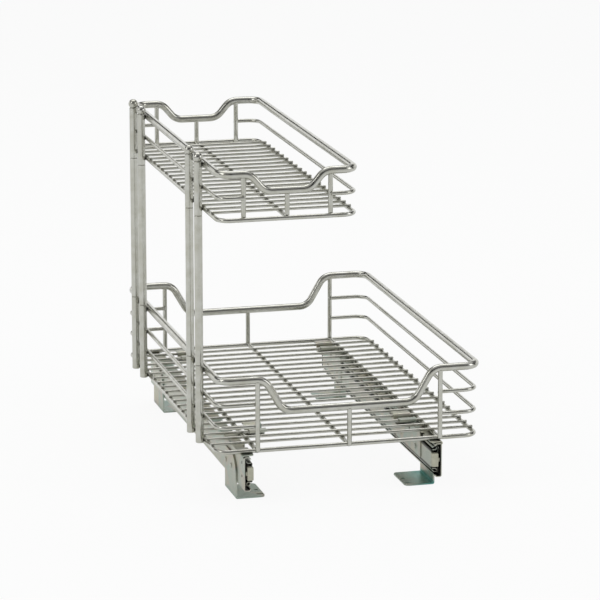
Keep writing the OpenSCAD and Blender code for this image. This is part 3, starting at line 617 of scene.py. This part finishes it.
def weld_beads(tier):
    """Beads: small and flat at the crosswires, larger where uprights, side wires and posts meet the frame."""
    sizes = bpy.context.scene.basket_wires
    bm = bmesh.new()
    seam_z = (tier.cross_z - sizes.crosswire + tier.floor_z + sizes.frame_wire) / 2
    for y in tier.cross_ys:
        for x in (tier.left, tier.right, *tier.support_xs):
            weld_bead(bm, (x, y, seam_z), "crosswire")
    for frame_y, upright_y, rail_y in zip((tier.front, tier.back), tier.upright_ys, tier.rail_ys):
        seam_y = (frame_y + upright_y) / 2
        for k, drop in ((-1, 0), (0, tier.scoop_depth), (1, 0)):
            x = tier.mid + k * tier.pitch
            weld_bead(bm, (x, seam_y, tier.floor_z), "upright")
            # Just under the rail, and nearer to the upright's line than to the rail's
            under = tier.rail_z - drop - 0.85 * sizes.rail
            weld_bead(bm, (x, rail_y * 0.3 + upright_y * 0.7, under), "rail")
        for x in (tier.mid - tier.pitch, tier.mid + tier.pitch):
            for z in tier.side_zs:
                weld_bead(bm, (x, seam_y, z), "side_wire")
    for k in range(1, 5):
        post = middle_of(f"post_tube_{k}")
        contact = post.x + bpy.context.scene.basket_plates.post
        for z in (tier.floor_z, *tier.side_zs):
            weld_bead(bm, (contact, post.y, z), "post")
        weld_bead(bm, (contact, post.y, tier.rail_z), "post_at_rail")
    finish_piece(f"{tier.name}_weld_beads", bm, "chrome_wire", BASKET, smooth_angle=80)


def build_basket(tier):
    """All the formed wires of one basket, each group as its own piece, and the beads that join them."""
    sizes = bpy.context.scene.basket_wires

    def formed(name, bm, node, slot_name="chrome_wire"):
        """Makes the wires in bm a piece that stands for the node, and starts the next bmesh."""
        settle(bm)
        finish_piece(name, bm, slot_name, BASKET, [node])
        return bmesh.new()

    bm = bmesh.new()
    frame_loop(bm, tier)
    bm = formed(f"{tier.name}_floor_frame", bm, f"{tier.name}_frame_wire")

    for y in tier.cross_ys:
        straight_wire(bm, *((x, y, tier.cross_z) for x in tier.cross_xs), sizes.crosswire)
    bm = formed(f"{tier.name}_floor_wires", bm, f"{tier.name}_crosswires")

    low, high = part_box(tier.support_node)
    for x in tier.support_xs:
        straight_wire(bm, (x, low.y, tier.floor_z), (x, high.y, tier.floor_z), sizes.frame_wire)
    bm = formed(f"{tier.name}_floor_supports", bm, tier.support_node)

    bottom, top = tier.upright_zs
    for y in tier.upright_ys:
        for k, drop in ((-1, 0), (0, tier.scoop_depth), (1, 0)):
            x = tier.mid + k * tier.pitch
            straight_wire(bm, (x, y, bottom), (x, y, top - drop), sizes.upright)
    bm = formed(f"{tier.name}_end_uprights", bm, f"{tier.name}_uprights")

    rail_loop(bm, tier)
    bm = formed(f"{tier.name}_rail_tube", bm, f"{tier.name}_top_rail", "chrome_tube")

    for side, side_name in ((1, "right"), (-1, "left")):
        node = f"{tier.side_node}_{side_name}"
        low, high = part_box(node)
        far_x = high.x - sizes.side_wire if side > 0 else low.x + sizes.side_wire
        for z in tier.side_zs:
            side_loop(bm, tier, side, far_x, z)
        bm = formed(node.replace("wire", "guard"), bm, node)
    bm.free()
    weld_beads(tier)


class BASKET_OT_lower_wires(bpy.types.Operator):
    """Form the lower basket from its wires and weld it"""
    bl_idname = "basket.lower_wires"
    bl_label = "Lower basket"

    def execute(self, context):
        build_basket(Tier("lower", (-1, 0, 1), "lower_support_wires", "lower_side_wires", side_rows=2))
        return {"FINISHED"}


class BASKET_OT_upper_wires(bpy.types.Operator):
    """Form the upper basket from its wires and weld it"""
    bl_idname = "basket.upper_wires"
    bl_label = "Upper basket"

    def execute(self, context):
        build_basket(Tier("upper", (0,), "upper_support_wire", "upper_side_wire", side_rows=1))
        return {"FINISHED"}


# ---- Posts ----

def sleeve(low_z, high_z):
    """Outer profile of a length of post, chamfered at both ends."""
    plates = bpy.context.scene.basket_plates
    radius, chamfer = plates.post, plates.post_chamfer
    return [(radius - chamfer, low_z), (radius, low_z + chamfer), (radius, high_z - chamfer),
            (radius - chamfer, high_z)]


def ball_arc(top_z):
    """Profile of a finial's ball, from its neck up to its top."""
    plates = bpy.context.scene.basket_plates
    ball, reach = plates.finial, math.acos(plates.finial_neck / plates.finial)
    lifts = [-reach + (reach + QUARTER) * t / BALL_STEPS for t in range(BALL_STEPS)]
    return [(ball * math.cos(t), top_z - ball + ball * math.sin(t)) for t in lifts] + [(0, top_z)]


class BASKET_OT_posts(bpy.types.Operator):
    """Turn the posts with their sockets, stubs and ball finials"""
    bl_idname = "basket.posts"
    bl_label = "Posts"

    def execute(self, context):
        plates = context.scene.basket_plates
        socket_low, socket_high = (corner.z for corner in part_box("lower_post_sockets"))
        stub_low, stub_high = (corner.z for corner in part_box("upper_post_stubs"))
        finial_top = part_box("post_finials")[1].z
        inner, floor = plates.post - plates.post_wall, socket_low + plates.socket_floor
        bore, spigot = inner - plates.spigot_wall, stub_high - plates.finial_spigot
        sockets, stubs, finials = bmesh.new(), bmesh.new(), bmesh.new()
        for k in range(1, 5):
            low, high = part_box(f"post_tube_{k}")
            x, y = (low.x + high.x) / 2, (low.y + high.y) / 2
            turned(sockets, x, y, [(0, socket_low), *sleeve(socket_low, socket_high), (inner, socket_high),
                                   (inner, floor), (0, floor)])
            turned(stubs, x, y, [(inner, stub_low), *sleeve(stub_low, stub_high), (inner, stub_high),
                                 (inner, stub_low)])
            turned(finials, x, y, [(0, spigot), (inner, spigot), (inner, stub_high),
                                   (plates.finial_neck, stub_high), *ball_arc(finial_top)])
            tube = bmesh.new()
            turned(tube, x, y, [(bore, low.z), (inner, low.z), (inner, socket_high),
                                *sleeve(socket_high, stub_low), (inner, stub_low), (inner, high.z),
                                (bore, high.z), (bore, low.z)])
            settle(tube)
            finish_piece(f"post_{k}", tube, "chrome_post", BASKET, [f"post_tube_{k}"])
        for bm, name, node in ((sockets, "post_sockets", "lower_post_sockets"),
                               (stubs, "post_stubs", "upper_post_stubs"),
                               (finials, "ball_finials", "post_finials")):
            settle(bm)
            finish_piece(name, bm, "chrome_post", BASKET, [node])
        return {"FINISHED"}


# ---- Carriers, clips and fasteners ----

def cross_ring(bm, centre, arm, reach):
    """The outline of a cross with arms of half width arm and length reach, as a closed ring of edges."""
    verts = []
    for quarter in range(4):
        turn = Matrix.Rotation(quarter * QUARTER, 3, "Z")
        verts += [bm.verts.new(centre + turn @ Vector((x, y, 0)))
                  for x, y in ((reach, -arm), (reach, arm), (arm, arm))]
    return [bm.edges.new((verts[k - 1], vert)) for k, vert in enumerate(verts)]


def pan_screw(bm, place, low_z, head_z, top_z):
    """Pan head screw with a cross recess, its shank running down to low_z."""
    plates = bpy.context.scene.basket_plates
    radius, shank, height = plates.screw_head, plates.screw_shank, top_z - head_z
    others = set(bm.edges)
    turned(bm, place.x, place.y, [
        (0.7 * shank, low_z), (shank, low_z + 0.3 * shank), (shank, head_z), (radius, head_z),
        (radius, head_z + 0.3 * height), (0.9 * radius, head_z + 0.7 * height), (0.66 * radius, top_z)],
        SCREW_STEPS)
    rims = [e for e in bm.edges if e.is_boundary and e not in others]
    tip = [e for e in rims if e.verts[0].co.z < head_z]
    rim = [e for e in rims if e.verts[0].co.z > head_z]
    mouth = cross_ring(bm, Vector((place.x, place.y, top_z)), 0.14 * radius, 0.5 * radius)
    floor = cross_ring(bm, Vector((place.x, place.y, top_z - 0.6 * height)), 0.09 * radius, 0.3 * radius)
    bmesh.ops.triangle_fill(bm, edges=rim + mouth, use_beauty=True)
    bmesh.ops.bridge_loops(bm, edges=mouth + floor)
    for ring in (tip, floor):
        bmesh.ops.edgeloop_fill(bm, edges=ring)


class BASKET_OT_carriers(bpy.types.Operator):
    """Finish the carriers, the wire clips and their fasteners"""
    bl_idname = "basket.carriers"
    bl_label = "Carriers and clips"

    def execute(self, context):
        plates = context.scene.basket_plates
        for side in ("left", "right"):
            dressed(f"carrier_{side}", f"carrier_plate_{side}", "bracket_zinc", BASKET, plates.sheet_edge)
            for end in ("front", "back"):
                dressed(f"wire_clip_{end}_{side}", f"wire_hat_{end}_{side}", "bracket_zinc", BASKET,
                        plates.sheet_edge)
        dressed("carrier_rivets", "carrier_rivet_heads", "fastener_zinc", BASKET, plates.rivet_edge)
        low_z, top_z = (corner.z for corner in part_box("clip_screws"))
        bm = bmesh.new()
        for end in ("front", "back"):
            for side in ("left", "right"):
                pan_screw(bm, middle_of(f"wire_clip_{end}_{side}"), low_z, top_z - plates.screw_head_height,
                          top_z)
        settle(bm)
        finish_piece("clip_screw_set", bm, "fastener_zinc", BASKET, ["clip_screws"])
        return {"FINISHED"}


# ---- Slides ----

def box_between(bm, low, high):
    """A box between two opposite corners."""
    low, high = Vector(low), Vector(high)
    matrix = Matrix.Translation((low + high) / 2) @ Matrix.Diagonal((*(high - low), 1))
    bmesh.ops.create_cube(bm, size=1, matrix=matrix)


def front_bumper(side):
    """Moulded block on the nose of an inner member, with a snap nib on its web side and a tail inside."""
    plates = bpy.context.scene.basket_plates
    low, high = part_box(f"front_bumper_{side}")
    face_x, web_x = (high.x, low.x) if side == "left" else (low.x, high.x)
    outward = math.copysign(1, web_x - face_x)
    block_x = face_x + outward * plates.bumper_width
    back_y, mid_z, step = low.y + plates.bumper_length, (low.z + high.z) / 2, plates.bumper_wall
    # How far the nib and the tail run into the block
    bite = 0.5 * step
    block = ((face_x, block_x), (low.y, back_y), (high.z - low.z) / 2)
    nib = ((block_x - outward * bite, web_x), (low.y + step, back_y - step), plates.bumper_nib / 2)
    tail = ((face_x + outward * step, block_x - outward * step), (back_y - bite, high.y),
            (high.z - low.z) / 2 - 2 * plates.moulded_edge)
    bm = bmesh.new()
    for xs, (y0, y1), half in (block, nib, tail):
        box_between(bm, (min(xs), y0, mid_z - half), (max(xs), y1, mid_z + half))
    bmesh.ops.bevel(bm, geom=bm.edges, offset=2 * plates.moulded_edge, offset_type="OFFSET", segments=3,
                    profile=0.5, affect="EDGES", clamp_overlap=True, material=-1)
    settle(bm)
    finish_piece(f"nylon_bumper_{side}", bm, "bumper_nylon", BASKET, [f"front_bumper_{side}"])


class BASKET_OT_slides(bpy.types.Operator):
    """Finish the slide members, cages, balls and bumpers"""
    bl_idname = "basket.slides"
    bl_label = "Slides"

    def execute(self, context):
        plates = context.scene.basket_plates
        for side in ("left", "right"):
            dressed(f"outer_member_{side}", f"outer_rail_{side}", "slide_zinc", SLIDE_BASE, plates.slide_edge)
            dressed(f"middle_member_{side}", f"middle_rail_{side}", "slide_zinc", f"middle_{side}",
                    plates.slide_edge)
            dressed(f"inner_member_{side}", f"inner_rail_{side}", "slide_zinc", BASKET, plates.slide_edge)
            front_bumper(side)
            dressed(f"rear_bumper_{side}", f"rubber_stop_{side}", "bumper_rubber", SLIDE_BASE,
                    plates.moulded_edge)
            for which in ("outer", "inner"):
                body = f"{which}_balls_{side[0]}"
                dressed(f"{which}_cage_{side}", f"{which}_ball_cage_{side}", "cage_steel", body, 0)
                dressed(f"{which}_balls_{side}", f"{which}_ball_row_{side}", "ball_steel", body, 0)
        return {"FINISHED"}


class BASKET_OT_feet(bpy.types.Operator):
    """Finish the bracket feet and their rivets"""
    bl_idname = "basket.feet"
    bl_label = "Feet"

    def execute(self, context):
        plates = context.scene.basket_plates
        for end in ("front", "back"):
            for side in ("left", "right"):
                dressed(f"foot_{end}_{side}", f"bracket_foot_{end}_{side}", "bracket_zinc", SLIDE_BASE,
                        plates.sheet_edge)
        dressed("foot_rivets", "foot_rivet_heads", "fastener_zinc", SLIDE_BASE, plates.rivet_edge)
        return {"FINISHED"}


# ---- Stage ----

def stage_piece(name, bm, material):
    """Turns a bmesh into a piece of the stage."""
    mesh = bpy.data.meshes.new(name)
    bm.to_mesh(mesh)
    bm.free()
    mesh.materials.append(material)
    piece = bpy.data.objects.new(name, mesh)
    bpy.context.scene.collection.objects.link(piece)
    return piece


def soft_light(name, place, target, size, power):
    """A rectangular lamp of that width and height in metres, turned to its target."""
    lamp = bpy.data.lights.new(name, "AREA")
    lamp.shape = "RECTANGLE"
    lamp.size, lamp.size_y = size
    lamp.energy = power
    light = bpy.data.objects.new(name, lamp)
    light.location = place
    light.rotation_euler = (Vector(target) - Vector(place)).to_track_quat("-Z", "Y").to_euler()
    bpy.context.scene.collection.objects.link(light)


def hang_flags(target):
    """Black flags, which only polished metal sees: they draw its dark streaks."""
    material, tree = new_material("flag_cloth")
    cloth = add(tree, "ShaderNodeBsdfDiffuse", Color=linear("#101010")).outputs[0]
    add(tree, "ShaderNodeOutputMaterial", Surface=cloth)
    for name, place, (wide, high) in (
            ("flag_left", (-2.2, -0.6, 0.9), (0.5, 1.4)), ("flag_right", (2.3, -0.4, 0.8), (0.6, 1.3)),
            ("flag_front", (-0.7, -3.0, 1.5), (0.8, 1.2)), ("flag_back", (-0.2, 2.6, 1.2), (0.5, 1.5))):
        bm = bmesh.new()
        bmesh.ops.create_grid(bm, x_segments=1, y_segments=1, size=1)
        facing = (Vector(target) - Vector(place)).to_track_quat("Z", "Y").to_matrix().to_4x4()
        sized = Matrix.Diagonal((wide / 2, high / 2, 1, 1))
        bmesh.ops.transform(bm, matrix=Matrix.Translation(place) @ facing @ sized, verts=bm.verts)
        flag = stage_piece(name, bm, material)
        flag.visible_camera = flag.visible_diffuse = flag.visible_shadow = flag.visible_transmission = False


def seen_directly(tree, rays):
    """1 for the rays by which the camera sees a surface, straight or through glass."""
    return add(tree, "ShaderNodeMath", {"operation": "MAXIMUM"}, n0=rays.outputs["Is Camera Ray"],
               n1=rays.outputs["Is Transmission Ray"]).outputs[0]


def paper_floor(tree):
    """White paper with a soft shadow. The camera sees it as nearly even white, and metal as greyer."""
    stage = bpy.context.scene.basket_stage
    rays = add(tree, "ShaderNodeLightPath")
    direct = add(tree, "ShaderNodeMath", {"operation": "MULTIPLY"}, n0=seen_directly(tree, rays),
                 n1=stage.floor_white).outputs[0]
    mirrored = add(tree, "ShaderNodeMath", {"operation": "MULTIPLY"}, n0=rays.outputs["Is Glossy Ray"],
                   n1=stage.floor_mirrored).outputs[0]
    seen = add(tree, "ShaderNodeMath", {"operation": "MAXIMUM"}, n0=direct, n1=mirrored).outputs[0]
    paper = add(tree, "ShaderNodeBsdfDiffuse", Color=linear("#F4F4F2")).outputs[0]
    glow = add(tree, "ShaderNodeEmission", Color=(1, 1, 1, 1), Strength=1.0).outputs[0]
    return add(tree, "ShaderNodeMixShader", n0=seen, n1=paper, n2=glow).outputs[0]


def studio_room(tree):
    """An even room that lights the basket, white where the camera looks past the floor. Metal mirrors the
    white backdrop behind the basket, the dark above its top edge, the pale ceiling and the dim front."""
    rays = add(tree, "ShaderNodeLightPath")
    heading = add(tree, "ShaderNodeSeparateXYZ", n0=add(tree, "ShaderNodeTexCoord").outputs["Generated"])
    depth = add(tree, "ShaderNodeMapRange", n0=heading.outputs["Y"], n1=-0.5, n2=0.6, n3=0.38,
                n4=1.0).outputs[0]
    rise = colour_steps(tree, heading.outputs["Z"], [
        (0.0, "#FFFFFF"), (0.36, "#FFFFFF"), (0.44, "#484848"), (0.64, "#484848"), (0.74, "#F0F0F0"),
        (1.0, "#FFFFFF")])
    backdrop = add(tree, "ShaderNodeMath", {"operation": "MULTIPLY"}, n0=depth, n1=rise).outputs[0]
    room = add(tree, "ShaderNodeBackground", Color=linear("#D8DADB"), Strength=0.8).outputs[0]
    paper = add(tree, "ShaderNodeBackground", Color=(1, 1, 1, 1), Strength=1.0).outputs[0]
    mirror = add(tree, "ShaderNodeBackground", Color=(1, 1, 1, 1), Strength=backdrop).outputs[0]
    sky = add(tree, "ShaderNodeMixShader", n0=seen_directly(tree, rays), n1=room, n2=paper).outputs[0]
    return add(tree, "ShaderNodeMixShader", n0=rays.outputs["Is Glossy Ray"], n1=sky, n2=mirror).outputs[0]


class BASKET_OT_stage(bpy.types.Operator):
    """Set up the camera, the floor and the studio lights"""
    bl_idname = "basket.stage"
    bl_label = "Stage"

    def execute(self, context):
        scene, stage = context.scene, context.scene.basket_stage
        lens = bpy.data.cameras.new("camera")
        lens.lens = stage.lens
        lens.sensor_width = 36
        lens.clip_end = 100
        camera = bpy.data.objects.new("camera", lens)
        camera.location = stage.place
        camera.rotation_euler = (QUARTER - stage.elevation, 0, stage.azimuth)
        scene.collection.objects.link(camera)
        scene.camera = camera

        material, tree = new_material("floor_paper")
        add(tree, "ShaderNodeOutputMaterial", Surface=paper_floor(tree))
        bm = bmesh.new()
        # Just under the feet, so that their soles and the floor don't share a plane
        sunk = Matrix.Translation((0, 0, -0.2 * MM))
        bmesh.ops.create_circle(bm, cap_ends=True, segments=64, radius=40, matrix=sunk)
        stage_piece("floor", bm, material)

        world = bpy.data.worlds.new("studio")
        scene.world = world
        world.use_nodes = True
        tree = world.node_tree
        tree.nodes.clear()
        add(tree, "ShaderNodeOutputWorld", Surface=studio_room(tree))

        centre = (0, 0, 0.2)
        soft_light("key_light", (-3.0, -0.9, 1.9), centre, (1.5, 1.9), stage.key_power)
        soft_light("fill_light", (2.6, -1.8, 1.6), centre, (1.3, 1.8), stage.fill_power)
        soft_light("top_light", (0.2, 1.2, 3.0), centre, (2.2, 1.4), stage.top_power)
        hang_flags(centre)
        scene.view_settings.view_transform = "Standard"
        return {"FINISHED"}


class BASKET_PT_panel(bpy.types.Panel):
    """Lists the basket's operators and sizes"""
    bl_label = "Pull-out basket"
    bl_idname = "BASKET_PT_panel"
    bl_space_type = "VIEW_3D"
    bl_region_type = "UI"
    bl_category = "Basket"

    def draw(self, context):
        for operator in OPERATORS:
            self.layout.operator(operator.bl_idname)
        for group, kind in PROPERTY_GROUPS.items():
            box = self.layout.box()
            box.label(text=kind.__doc__)
            for name in kind.__annotations__:
                box.prop(getattr(context.scene, group), name)


OPERATORS = (
    BASKET_OT_stage,
    BASKET_OT_lower_wires,
    BASKET_OT_upper_wires,
    BASKET_OT_posts,
    BASKET_OT_carriers,
    BASKET_OT_slides,
    BASKET_OT_feet,
)


def register():
    for kind in (*PROPERTY_GROUPS.values(), *OPERATORS, BASKET_PT_panel):
        bpy.utils.register_class(kind)
    for group, kind in PROPERTY_GROUPS.items():
        setattr(bpy.types.Scene, group, PointerProperty(type=kind))


def unregister():
    for group in PROPERTY_GROUPS:
        delattr(bpy.types.Scene, group)
    for kind in (BASKET_PT_panel, *reversed(OPERATORS), *PROPERTY_GROUPS.values()):
        bpy.utils.unregister_class(kind)


def main():
    register()
    for operator in OPERATORS:
        _, name = operator.bl_idname.split(".")
        getattr(bpy.ops.basket, name)()


if __name__ == "__main__":
    main()
